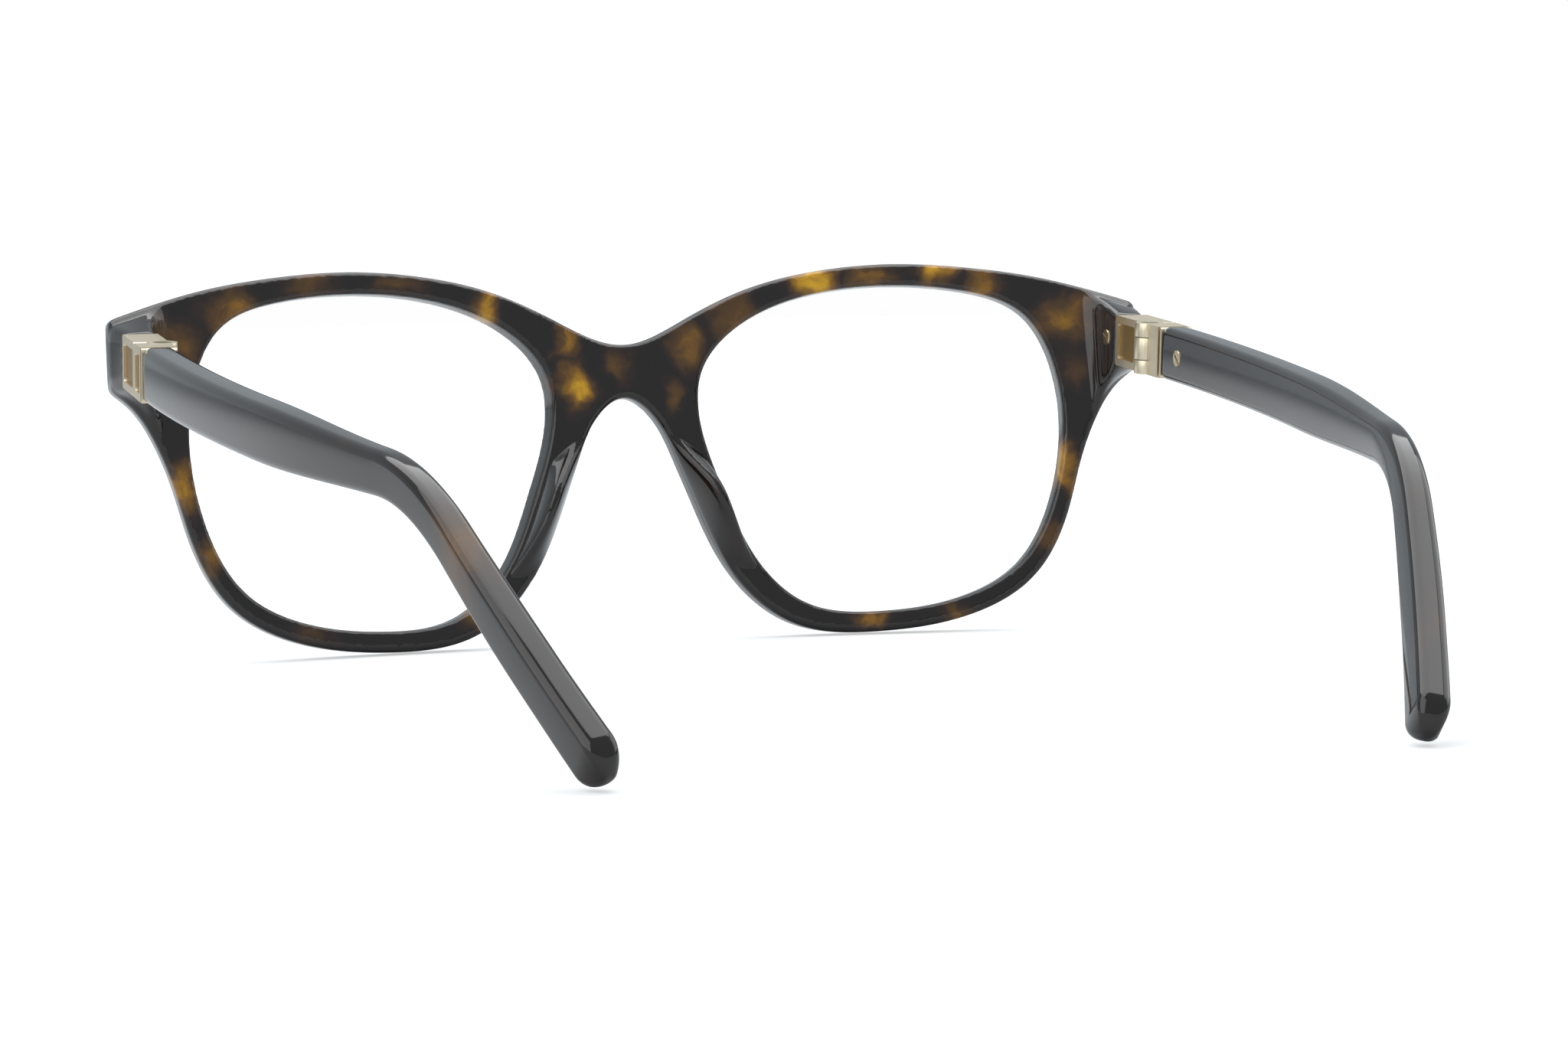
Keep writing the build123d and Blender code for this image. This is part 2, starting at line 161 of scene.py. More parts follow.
class Bench:
    """A material's node tree while it is being put together."""

    def __init__(self, name: str) -> None:
        """Start an empty material.

        Args:
            name: The finish's name.
        """
        self.material = bpy.data.materials.new(name)
        self.material.use_nodes = True
        self.tree = self.material.node_tree
        self.tree.nodes.clear()

    def add(self, kind: str, settings: dict | None = None, inputs: dict | None = None) -> bpy.types.Node:
        """Add one node, set it up and feed its sockets.

        Args:
            kind: The node's type name.
            settings: Attributes to set first; "stops" fills a colour ramp.
            inputs: Socket name or number to a number, colour, Value or socket.

        Returns:
            The new node.
        """
        node = self.tree.nodes.new(kind)
        for key, setting in (settings or {}).items():
            if key == "stops":
                self._fill_ramp(node, setting)
            else:
                setattr(node, key, setting)
        for key, given in (inputs or {}).items():
            self._feed(node.inputs[key], given)
        return node

    def _feed(self, target: bpy.types.NodeSocket, given: Any) -> None:
        """Link a socket to a Value or a socket, or set it to a constant.

        Args:
            target: The socket to feed.
            given: What it is fed with.
        """
        if isinstance(given, Value):
            given = given.socket
        if isinstance(given, bpy.types.NodeSocket):
            self.tree.links.new(given, target)
        elif target.type == "RGBA" and len(given) == 3:
            target.default_value = (*given, 1.0)
        else:
            target.default_value = given

    @staticmethod
    def _fill_ramp(node: bpy.types.Node, stops: Sequence[tuple[float, Colour]]) -> None:
        """Set a colour ramp's stops.

        Args:
            node: The ramp.
            stops: Place and colour of each stop, in order.
        """
        elements = node.color_ramp.elements
        while len(elements) < len(stops):
            elements.new(1.0)
        for element, (place, colour) in zip(elements, stops):
            element.position = place
            element.color = (*colour, 1.0)

    def value(self, socket: bpy.types.NodeSocket) -> Value:
        """A number socket, ready for expressions."""
        return Value(self, socket)

    def place(self) -> bpy.types.NodeSocket:
        """The surface point in the piece's own frame, in metres."""
        return self.add("ShaderNodeTexCoord").outputs["Object"]

    def facing(self) -> bpy.types.NodeSocket:
        """The surface's direction in the piece's own frame."""
        return self.add("ShaderNodeTexCoord").outputs["Normal"]

    def axis(self, vector: bpy.types.NodeSocket, name: str) -> Value:
        """One coordinate of a vector.

        Args:
            vector: The vector's socket.
            name: X, Y or Z.

        Returns:
            That coordinate.
        """
        return self.value(self.add("ShaderNodeSeparateXYZ", {}, {0: vector}).outputs[name])

    def vectors(self, operation: str, first: Any, second: Any = (0.0, 0.0, 0.0)) -> bpy.types.Node:
        """Vector maths.

        Args:
            operation: Blender's name of the operation.
            first: A vector or a vector socket.
            second: A vector or a vector socket.

        Returns:
            The node.
        """
        return self.add("ShaderNodeVectorMath", {"operation": operation}, {0: first, 1: second})

    def length(self, vector: bpy.types.NodeSocket) -> Value:
        """How long a vector is."""
        return self.value(self.vectors("LENGTH", vector).outputs["Value"])

    def noise(self, where: Any, scale: float, detail: float = 2.0, rough: float = 0.5) -> bpy.types.Node:
        """A cloud noise.

        Args:
            where: The coordinates it reads.
            scale: Clouds to the metre.
            detail: How many finer layers it has.
            rough: How strong the finer layers are.

        Returns:
            The noise node.
        """
        inputs = {"Vector": where, "Scale": scale, "Detail": detail, "Roughness": rough}
        return self.add("ShaderNodeTexNoise", {}, inputs)

    def wander(self, where: Any, scale: float, reach: float) -> bpy.types.NodeSocket:
        """Coordinates that wander about, so that what reads them gets soft edges.

        Args:
            where: The coordinates to disturb.
            scale: Wanderings to the metre.
            reach: How far they go, in metres.

        Returns:
            The disturbed coordinates.
        """
        cloud = self.noise(where, scale, 3.0).outputs["Color"]
        centred = self.vectors("SUBTRACT", cloud, (0.5, 0.5, 0.5)).outputs[0]
        scaled = self.vectors("MULTIPLY", centred, (2.0 * reach,) * 3).outputs[0]
        return self.vectors("ADD", where, scaled).outputs[0]

    def mix(self, factor: Any, first: Any, second: Any) -> bpy.types.NodeSocket:
        """Blend two colours.

        Args:
            factor: 0 for the first, 1 for the second.
            first: A colour or a colour socket.
            second: A colour or a colour socket.

        Returns:
            The blended colour.
        """
        node = self.add("ShaderNodeMix", {"data_type": "RGBA"}, {"Factor": factor})
        self._feed(node.inputs[6], first)
        self._feed(node.inputs[7], second)
        return node.outputs[2]

    def bump(self, height: Value, depth: float, strength: float) -> bpy.types.NodeSocket:
        """Surface relief from a height.

        Args:
            height: The height, from 0 to 1.
            depth: How deep it is, in metres.
            strength: Its strength.

        Returns:
            The disturbed normal.
        """
        inputs = {"Height": height, "Distance": depth, "Strength": strength}
        return self.add("ShaderNodeBump", {}, inputs).outputs[0]

    def finish(self, **sockets: Any) -> bpy.types.Material:
        """Close the material with a Principled surface.

        Args:
            **sockets: The surface's sockets, with underscores for spaces.

        Returns:
            The finished material.
        """
        inputs = {name.replace("_", " "): given for name, given in sockets.items()}
        surface = self.add("ShaderNodeBsdfPrincipled", {}, inputs)
        self.add("ShaderNodeOutputMaterial", {}, {"Surface": surface.outputs[0]})
        return self.material


# ---------------------------------------------------------------- finishes


@dataclass(frozen=True)
class Patch:
    """One amber patch in the tortoiseshell, in the model's frame, millimetres."""

    x: float
    y: float
    z: float
    wide: float
    tall: float
    glow: float
    deep: float = 6.0


FRONT_PATCHES = (
    Patch(-27.0, -74.5, 48.2, 3.8, 4.2, 1.0),
    Patch(-35.0, -73.5, 49.0, 4.6, 3.4, 0.55),
    Patch(-43.5, -72.5, 49.5, 3.4, 3.0, 0.85),
    Patch(-49.5, -71.5, 48.0, 3.2, 3.6, 0.60),
    Patch(-60.5, -69.0, 42.5, 5.0, 4.5, 0.62),
    Patch(-61.5, -68.0, 36.0, 2.6, 3.0, 0.40),
    Patch(-61.0, -67.5, 21.5, 2.8, 5.6, 0.95),
    Patch(-57.5, -67.5, 12.0, 2.6, 3.4, 0.50),
    Patch(-46.0, -69.0, 2.0, 4.0, 2.6, 0.60),
    Patch(-31.5, -71.0, 1.5, 3.6, 2.4, 0.95),
    Patch(-15.0, -76.0, 43.0, 4.0, 5.0, 0.55),
    Patch(-8.6, -76.0, 40.0, 3.4, 4.0, 0.70),
    Patch(-6.0, -75.5, 33.0, 2.2, 3.2, 0.60),
    Patch(0.7, -76.0, 38.0, 1.8, 3.0, 0.50),
    Patch(6.0, -75.5, 34.0, 2.4, 4.4, 1.0),
    Patch(8.0, -76.0, 39.5, 2.6, 3.0, 0.75),
    Patch(19.4, -76.0, 46.0, 2.8, 3.8, 0.85),
    Patch(31.0, -75.0, 49.0, 4.0, 2.6, 0.45),
    Patch(43.0, -73.0, 49.0, 5.0, 2.8, 0.50),
    Patch(55.0, -71.0, 46.0, 4.6, 3.6, 0.60),
    Patch(62.0, -68.5, 41.5, 4.6, 4.2, 0.55),
    Patch(60.5, -67.5, 24.0, 2.6, 5.4, 0.85),
    Patch(58.0, -67.5, 14.0, 2.4, 3.6, 0.55),
    Patch(45.0, -69.0, 3.0, 3.6, 2.4, 0.35),
    Patch(22.0, -72.0, 4.0, 3.4, 2.6, 0.70),
)


@dataclass(frozen=True)
class Tortoiseshell:
    """Polished dark havana acetate: near-black brown with soft amber patches."""

    name: str
    patches: tuple[Patch, ...] = ()
    clouds: float = 0.0
    clouds_from: float = -1.0
    roughness: float = 0.07
    drifts: tuple[tuple[float, float], ...] = ((115.0, 4.2), (420.0, 1.1))
    grain_scale: float = 240.0
    cloud_scale: float = 62.0
    patch_edge: tuple[float, float] = (1.35, 0.10)
    shades: tuple[tuple[float, Colour], ...] = (
        (0.0, (0.0095, 0.0062, 0.0052)),
        (0.14, (0.026, 0.0120, 0.0068)),
        (0.38, (0.105, 0.0470, 0.0085)),
        (0.62, (0.310, 0.1420, 0.0080)),
        (0.90, (0.740, 0.3950, 0.0120)),
    )

    def material(self) -> bpy.types.Material:
        """Build the finish.

        Returns:
            The material.
        """
        bench = Bench(self.name)
        here = drifting = bench.place()
        for scale, reach in self.drifts:
            drifting = bench.wander(drifting, scale, reach * MM)
        amber = self._cloud_patches(bench, drifting)
        for patch in self.patches:
            amber = amber.most(self._patch(bench, drifting, patch))
        grain = bench.value(bench.noise(drifting, self.grain_scale, 4.0, 0.62).outputs["Fac"])
        shade = amber ** 1.15 * (0.35 + 1.15 * grain)
        colour = bench.add("ShaderNodeValToRGB", {"stops": self.shades}, {"Fac": shade}).outputs["Color"]
        wipe = bench.value(bench.noise(here, 90.0, 5.0, 0.65).outputs["Fac"])
        scratch = bench.value(bench.noise(here, 2600.0, 2.0).outputs["Fac"])
        gloss = self.roughness + 0.05 * wipe.step(0.45, 0.75) + 0.02 * scratch
        ripple = bench.value(bench.noise(here, 55.0, 1.0).outputs["Fac"])
        relief = bench.bump(ripple, 0.02 * MM, 0.5)
        return bench.finish(
            Base_Color=colour, Roughness=gloss, Normal=relief, IOR=1.49, Coat_Weight=0.35,
            Coat_Roughness=0.03, Coat_IOR=1.5,
        )

    def _cloud_patches(self, bench: Bench, where: bpy.types.NodeSocket) -> Value:
        """Amber that comes from a cloud noise alone.

        Args:
            bench: The material being built.
            where: The coordinates to read.

        Returns:
            How amber each point is, from 0 to 1.
        """
        cloud = bench.value(bench.noise(where, self.cloud_scale, 1.5, 0.4).outputs["Fac"])
        behind = bench.axis(where, "Y").step(self.clouds_from, self.clouds_from + 0.03)
        return self.clouds * cloud.step(0.55, 0.78) * behind

    def _patch(self, bench: Bench, where: bpy.types.NodeSocket, patch: Patch) -> Value:
        """One placed amber patch.

        Args:
            bench: The material being built.
            where: The coordinates to read.
            patch: Where the patch lies and how bright it is.

        Returns:
            How amber each point is, from 0 to the patch's glow.
        """
        centre = (patch.x * MM, patch.y * MM, patch.z * MM)
        spread = (patch.wide * MM, patch.deep * MM, patch.tall * MM)
        away = bench.vectors("SUBTRACT", where, centre).outputs[0]
        share = bench.vectors("DIVIDE", away, spread).outputs[0]
        return patch.glow * bench.length(share).step(*self.patch_edge)


@dataclass(frozen=True)
class Gilt:
    """Pale champagne gilt metal, with painted shade in its recesses."""

    name: str
    polish: Polish
    colour: Colour = (0.80, 0.70, 0.52)
    shadow: Colour = (0.34, 0.22, 0.085)
    recess_low: float = 65.3
    recess_high: float = 69.3
    recess_edge: float = 0.05

    def material(self) -> bpy.types.Material:
        """Build the finish.

        Returns:
            The material.
        """
        bench = Bench(self.name)
        here = bench.place()
        # Painted shade: side-facing surfaces in the band of the recesses take the darker shadow colour,
        # in place of the shade that falls there.
        across = abs(bench.axis(here, "X"))
        sideways = abs(bench.axis(bench.facing(), "X")).step(0.80, 0.95)
        inside = across.step(self.recess_low * MM, (self.recess_low + self.recess_edge) * MM)
        inside = inside * across.step(self.recess_high * MM, (self.recess_high - self.recess_edge) * MM)
        recess = inside * sideways
        tarnish = bench.value(bench.noise(here, 420.0, 4.0, 0.6).outputs["Fac"])
        brushed = bench.value(bench.noise(here, 3800.0, 2.0).outputs["Fac"])
        worn = bench.mix(tarnish.step(0.5, 0.8) * 0.35, self.colour, tuple(c * 0.82 for c in self.colour))
        colour = bench.mix(recess, worn, self.shadow)
        gloss = self.polish.value + 0.10 * recess + 0.08 * brushed
        relief = bench.bump(brushed, 0.006 * MM, 0.6)
        return bench.finish(Base_Color=colour, Roughness=gloss, Normal=relief, Metallic=1.0)


@dataclass(frozen=True)
class ClearLens:
    """Clear demonstration lens: only its reflections and its edge show."""

    name: str = "clear_lens"

    def material(self) -> bpy.types.Material:
        """Build the finish.

        Returns:
            The material.
        """
        bench = Bench(self.name)
        here = bench.place()
        glance = bench.value(bench.add("ShaderNodeFresnel", {}, {"IOR": 1.35}).outputs[0])
        dust = bench.value(bench.noise(here, 240.0, 4.0).outputs["Fac"])
        cover = 0.004 + 0.30 * glance + 0.008 * dust.step(0.55, 0.8)
        smear = 0.02 + 0.03 * dust
        return bench.finish(Base_Color=(0.93, 0.96, 0.97), Roughness=smear, Alpha=cover, IOR=1.5)


@dataclass(frozen=True)
class StudioPaper:
    """Plain white paper under the object, which glows for the camera and lights nothing."""

    name: str = "studio_paper"
    glow_near: float = 0.50
    glow_far: float = 0.98
    near: float = 0.15
    far: float = 0.8

    def material(self) -> bpy.types.Material:
        """Build the finish.

        Returns:
            The material.
        """
        bench = Bench(self.name)
        fibre = bench.value(bench.noise(bench.place(), 900.0, 3.0).outputs["Fac"])
        colour = bench.mix(fibre * 0.2, (0.60, 0.61, 0.62), (0.56, 0.57, 0.58))
        seen = bench.value(bench.add("ShaderNodeLightPath").outputs["Is Camera Ray"])
        distant = bench.length(bench.place()).step(self.near, self.far)
        glow = seen * (self.glow_near + (self.glow_far - self.glow_near) * distant)
        shine = bench.mix(glow, (0.0, 0.0, 0.0), (1.0, 1.0, 1.0))
        return bench.finish(
            Base_Color=colour, Roughness=0.9, Specular_IOR_Level=0.1, Emission_Color=shine,
            Emission_Strength=1.0,
        )


# ---------------------------------------------------------------- drawing helpers


def spline_second(points: np.ndarray, steps: np.ndarray, closed: bool) -> np.ndarray:
    """Second derivatives of a cubic spline at its points.

    Args:
        points: The points, one row each.
        steps: The parameter step after each point.
        closed: Join the last point to the first.

    Returns:
        One row of second derivatives for each point.
    """
    count = len(points)
    matrix = np.zeros((count, count))
    right = np.zeros_like(points)
    for k in range(count):
        if not closed and k in (0, count - 1):
            matrix[k, k] = 1.0
            continue
        before, after = (k - 1) % count, (k + 1) % count
        h0, h1 = steps[before], steps[k]
        matrix[k, before] += h0
        matrix[k, k] += 2.0 * (h0 + h1)
        matrix[k, after] += h1
        right[k] = 6.0 * ((points[after] - points[k]) / h1 - (points[k] - points[before]) / h0)
    return np.linalg.solve(matrix, right)


def smooth_curve(points: Sequence[Sequence[float]], closed: bool = False) -> np.ndarray:
    """A cubic spline through points, by chord length.

    Args:
        points: The points it goes through.
        closed: Join the last point to the first.

    Returns:
        The samples, one row each; a closed curve doesn't repeat its first.
    """
    knots = np.array(points, float)
    after = np.roll(knots, -1, axis=0)
    steps = np.linalg.norm(after - knots, axis=1)
    bend = spline_second(knots, steps, closed)
    bend_after = np.roll(bend, -1, axis=0)
    spans = len(knots) if closed else len(knots) - 1
    rows = []
    for k in range(spans):
        for t in np.arange(SPAN_SAMPLES) / SPAN_SAMPLES:
            s, h = 1.0 - t, steps[k]
            curve = s * knots[k] + t * after[k]
            curve += h * h / 6.0 * ((s ** 3 - s) * bend[k] + (t ** 3 - t) * bend_after[k])
            rows.append(curve)
    if not closed:
        rows.append(knots[-1])
    return np.array(rows)


def resample(loop: np.ndarray) -> np.ndarray:
    """Points about EDGE_STEP apart, evenly along a closed loop."""
    ring = np.vstack([loop, loop[:1]])
    along = np.r_[0.0, np.cumsum(np.linalg.norm(np.diff(ring, axis=0), axis=1))]
    count = int(round(along[-1] / EDGE_STEP))
    wanted = np.linspace(0.0, along[-1], count, endpoint=False)
    return np.stack([np.interp(wanted, along, ring[:, k]) for k in range(ring.shape[1])], axis=1)


def round_corners(loop: np.ndarray, passes: int) -> np.ndarray:
    """Soften a loop's corners by averaging neighbours."""
    for _ in range(passes):
        loop = 0.25 * np.roll(loop, 1, axis=0) + 0.5 * loop + 0.25 * np.roll(loop, -1, axis=0)
    return loop


def turned_inward(loop: np.ndarray) -> np.ndarray:
    """Unit directions at right angles to a flat loop, towards its inside.

    Args:
        loop: The loop's points, two numbers each.

    Returns:
        One direction for each point.
    """
    run = np.roll(loop, -1, axis=0) - np.roll(loop, 1, axis=0)
    run /= np.linalg.norm(run, axis=1)[:, None]
    after = np.roll(loop, -1, axis=0)
    area = np.sum(loop[:, 0] * after[:, 1] - after[:, 0] * loop[:, 1])
    return np.stack([-run[:, 1], run[:, 0]], axis=1) * (1.0 if area > 0 else -1.0)


def lies_inside(points: np.ndarray, loop: np.ndarray) -> np.ndarray:
    """Which points lie inside a flat loop.

    Args:
        points: The points to test.
        loop: The loop.

    Returns:
        True for each point inside.
    """
    inside = np.zeros(len(points), bool)
    for (x0, z0), (x1, z1) in zip(loop, np.roll(loop, -1, axis=0)):
        if z0 == z1:
            continue
        spans = (z0 > points[:, 1]) != (z1 > points[:, 1])
        inside ^= spans & (points[:, 0] < x0 + (points[:, 1] - z0) * (x1 - x0) / (z1 - z0))
    return inside


def rounded_box(width: float, height: float, radius: float, per_corner: int) -> np.ndarray:
    """A rounded rectangle round the origin.

    Args:
        width: Its full width.
        height: Its full height.
        radius: Its corner radius.
        per_corner: Points on each corner.

    Returns:
        Its points, anticlockwise.
    """
    radius = min(radius, 0.499 * width, 0.499 * height)
    rows = []
    for corner, (sx, sy) in enumerate(((1, 1), (-1, 1), (-1, -1), (1, -1))):
        for k in range(per_corner):
            angle = math.pi / 2 * (corner + k / (per_corner - 1))
            x = sx * (width / 2 - radius) + radius * math.cos(angle)
            y = sy * (height / 2 - radius) + radius * math.sin(angle)
            rows.append((x, y))
    return np.array(rows)


class Mesher:
    """Points and faces of one piece while it is drawn, in millimetres."""

    def __init__(self) -> None:
        """Start with nothing drawn."""
        self.points: list[np.ndarray] = []
        self.faces: list[tuple[int, ...]] = []
        self.count = 0

    def ring(self, points: np.ndarray) -> np.ndarray:
        """Add a ring of points.

        Args:
            points: Its points, three numbers each.

        Returns:
            Their numbers.
        """
        numbers = np.arange(self.count, self.count + len(points))
        self.points.append(np.asarray(points, float))
        self.count += len(points)
        return numbers

    def skin(self, rings: Sequence[np.ndarray]) -> None:
        """Join each ring of point numbers to the next with four-sided faces."""
        for first, second in zip(rings, rings[1:]):
            size = len(first)
            for k in range(size):
                j = (k + 1) % size
                self.faces.append((int(first[k]), int(first[j]), int(second[j]), int(second[k])))

    def cap(self, ring: np.ndarray) -> None:
        """Close a ring of point numbers with one face."""
        self.faces.append(tuple(int(k) for k in ring))

    def loft(self, sections: Iterable[np.ndarray]) -> None:
        """Draw a closed tube through sections, each with as many points."""
        rings = [self.ring(section) for section in sections]
        self.skin(rings)
        self.cap(rings[0][::-1])
        self.cap(rings[-1])

    def mesh(self, name: str) -> bpy.types.Mesh:
        """The drawn mesh, welded and with its faces turned outwards.

        Args:
            name: The mesh's name.

        Returns:
            The mesh, still in millimetres.
        """
        mesh = bpy.data.meshes.new(name)
        mesh.from_pydata(np.vstack(self.points).tolist(), [], self.faces)
        work = bmesh.new()
        work.from_mesh(mesh)
        bmesh.ops.remove_doubles(work, verts=work.verts, dist=WELD_REACH)
        bmesh.ops.recalc_face_normals(work, faces=work.faces)
        work.to_mesh(mesh)
        work.free()
        return mesh


@dataclass(frozen=True)
class Standing:
    """How the drawing frame leans and stands in the model's frame."""

    lean: float
    shift: Vector

    @classmethod
    def from_record(cls, joints: list[dict]) -> "Standing":
        """Read the lean and the place from the left temple's joint.

        Args:
            joints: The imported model's joints.

        Returns:
            The standing place.
        """
        joint = next(item for item in joints if item["child"] == Side.LEFT.body)
        lean = math.radians(TEMPLE_SLOPE) - math.atan2(joint["axis"][1], joint["axis"][2])
        turned = cls(lean, Vector((0, 0, 0))).place(np.array([HINGE_PIN]))[0]
        return cls(lean, Vector(joint["pos_m"]) - Vector(turned))

    def place(self, points: np.ndarray) -> np.ndarray:
        """Drawing points in millimetres as model points in metres."""
        cos, sin = math.cos(self.lean), math.sin(self.lean)
        x, y, z = points.T
        rows = np.stack([x, y * cos - z * sin, y * sin + z * cos], axis=1) * MM
        return rows + np.array(self.shift)


def put_in_scene(
    mesh: bpy.types.Mesh, name: str, standing: Standing, material: bpy.types.Material
) -> bpy.types.Object:
    """Place a drawn mesh in the model's frame as a smooth-shaded, finished piece.

    Args:
        mesh: The mesh, in millimetres in the drawing frame.
        name: The piece's name.
        standing: Where the drawing frame stands.
        material: Its finish.

    Returns:
        The new piece.
    """
    flat = np.zeros(len(mesh.vertices) * 3)
    mesh.vertices.foreach_get("co", flat)
    mesh.vertices.foreach_set("co", standing.place(flat.reshape(-1, 3)).ravel())
    mesh.update()
    mesh.shade_smooth()
    mesh.materials.clear()
    mesh.materials.append(material)
    piece = bpy.data.objects.new(name, mesh)
    bpy.context.scene.collection.objects.link(piece)
    return piece


def melted(mesh: bpy.types.Mesh, voxel: float, passes: int) -> bpy.types.Mesh:
    """A drawn mesh with its overlapping shells melted into one and its edges polished.

    Args:
        mesh: The mesh to work on.
        voxel: The size of the grid it is melted on.
        passes: How often it is polished.

    Returns:
        The new mesh.
    """
    passing = bpy.data.objects.new("passing", mesh)
    bpy.context.scene.collection.objects.link(passing)
    fuse = passing.modifiers.new("fuse", "REMESH")
    fuse.mode = "VOXEL"
    fuse.voxel_size = voxel
    polish = passing.modifiers.new("polish", "SMOOTH")
    polish.factor = 0.5
    polish.iterations = passes
    graph = bpy.context.evaluated_depsgraph_get()
    result = bpy.data.meshes.new_from_object(passing.evaluated_get(graph))
    bpy.data.objects.remove(passing)
    return result


# ---------------------------------------------------------------- acetate pieces


@dataclass
class Front:
    """The acetate front: brow, rims, bridge and end pieces."""

    opening_width: float = 50.6
    opening_height: float = 44.4
    bridge_width: float = 19.8
    wrap_radius: float = 254.0
    thickness: float = 4.0
    rim_side: float = 2.4
    rim_bottom: float = 2.8
    rim_top: float = 3.0
    rim_nose: float = 4.6
    bridge_top: float = 15.1
    bridge_under: float = 7.9
    frame_width: float = 140.8
    end_top: float = 18.7
    end_bottom: float = 9.6
    edge_round: float = 0.75
    opening_round: float = 0.45
    corner_passes: int = 6
    fill_spacing: float = 2.0
    fill_clear: float = 0.8
    fill_half_height: float = 30.0
    voxel: float = 0.3
    passes: int = 14
    snap: float = 0.07
    lens_shape: tuple[tuple[float, float], ...] = (
        (0.08, 1.0), (0.48, 0.955), (0.80, 0.81), (0.975, 0.42),
        (1.0, 0.10), (0.93, -0.35), (0.73, -0.745), (0.375, -0.945),
        (-0.04, -1.0), (-0.44, -0.93), (-0.72, -0.62), (-0.88, -0.20),
        (-0.985, 0.21), (-0.965, 0.50), (-0.77, 0.76), (-0.375, 0.95),
    )

    def __post_init__(self) -> None:
        """Work out the sizes that follow from the others."""
        self.half_width = self.opening_width / 2
        self.half_height = self.opening_height / 2
        self.lens_tilt = math.asin((self.bridge_width / 2 + self.half_width) / self.wrap_radius)
        self.lens_x = self.bridge_width / 2 + self.half_width * math.cos(self.lens_tilt)

    def back_at(self, x: np.ndarray | float, depth: np.ndarray | float = 0.0) -> np.ndarray | float:
        """How far back the front's curved sheet lies at x.

        Args:
            x: Sideways place.
            depth: Distance in front of the rear face.

        Returns:
            The y of that depth there.
        """
        return self.wrap_radius - np.sqrt((self.wrap_radius + depth) ** 2 - np.square(x))

    def outline(self) -> np.ndarray:
        """The front's outline from behind, evenly sampled with softened corners.

        Returns:
            The closed outline, x and z.
        """
        end_x = self.frame_width / 2
        brow = self.half_height + self.rim_top
        brow_line = [
            (end_x, self.end_top),
            (self.lens_x + 0.90 * self.half_width, brow - 2.5),
            (self.lens_x + 0.52 * self.half_width, brow - 0.8),
            (self.lens_x + 0.12 * self.half_width, brow),
            (0.80 * self.lens_x, brow - 0.6),
            (0.52 * self.lens_x, self.bridge_top + 0.73 * (brow - self.bridge_top)),
            (0.26 * self.lens_x, self.bridge_top + 0.33 * (brow - self.bridge_top)),
        ]
        under = [
            (end_x, self.end_bottom),
            (end_x - 2.2, self.end_bottom - 1.6),
            (self.lens_x + 1.17 * self.half_width, 0.12 * self.half_height),
            (self.lens_x + 1.09 * self.half_width, -0.11 * self.half_height),
        ]
        under += [self.rim_point(u, v) for u, v in self.lens_shape[5:12]]
        under += [(0.35 * self.bridge_width, -0.03 * self.half_height)]
        under += [(0.19 * self.bridge_width, self.bridge_under - 2.4)]
        top = smooth_curve(self._both_sides(brow_line, (0.0, self.bridge_top)))
        low = smooth_curve(self._both_sides(under, (0.0, self.bridge_under)))
        return round_corners(resample(np.vstack([top, low[::-1]])), self.corner_passes)

    @staticmethod
    def _both_sides(points: list, middle: tuple[float, float]) -> list:
        """A left-hand run of points, a middle point and the same run mirrored."""
        return points + [middle] + [(-x, z) for x, z in reversed(points)]

    def rim_point(self, u: float, v: float) -> tuple[float, float]:
        """A point on the left rim's outer edge.

        Args:
            u: The lens point's share of the half width.
            v: Its share of the half height.

        Returns:
            The rim point, x and z.
        """
        beside = self.rim_side if u > 0 else self.rim_nose
        return self.lens_x + u * (self.half_width + beside), v * (self.half_height + self.rim_bottom)

    def opening(self, side: Side) -> np.ndarray:
        """One lens opening at the rear face.

        Args:
            side: Which lens.

        Returns:
            The closed loop, x and z.
        """
        loop = smooth_curve(np.array(self.lens_shape) * (self.half_width, self.half_height), closed=True)
        loop[:, 0] = self.lens_x + loop[:, 0] * math.cos(self.lens_tilt)
        return resample(loop * (side.value, 1.0))

    def _walled_ring(self, loop: np.ndarray, inset: float, depth: float, slant: float) -> np.ndarray:
        """A loop moved into the material and laid at a depth in the curved sheet.

        Args:
            loop: The flat loop.
            inset: How far it moves along its own inward direction.
            depth: Its distance in front of the rear face.
            slant: Sideways shift for each millimetre of depth.

        Returns:
            The ring in space.
        """
        flat = loop + turned_inward(loop) * inset
        x = flat[:, 0] + slant * depth
        return np.stack([x, self.back_at(x, depth), flat[:, 1]], axis=1)

    def _edge_profile(self, radius: float) -> list[tuple[float, float]]:
        """Inset and depth of each ring, from the rear face round the edge to the front face.

        Args:
            radius: How far the two corners are rounded.

        Returns:
            The rings' insets and depths.
        """
        turns = [math.pi / 2 * k / 4 for k in range(5)]
        rear = [(radius * (1 - math.sin(a)), radius * (1 - math.cos(a))) for a in turns]
        return rear + [(inset, self.thickness - depth) for inset, depth in reversed(rear)]

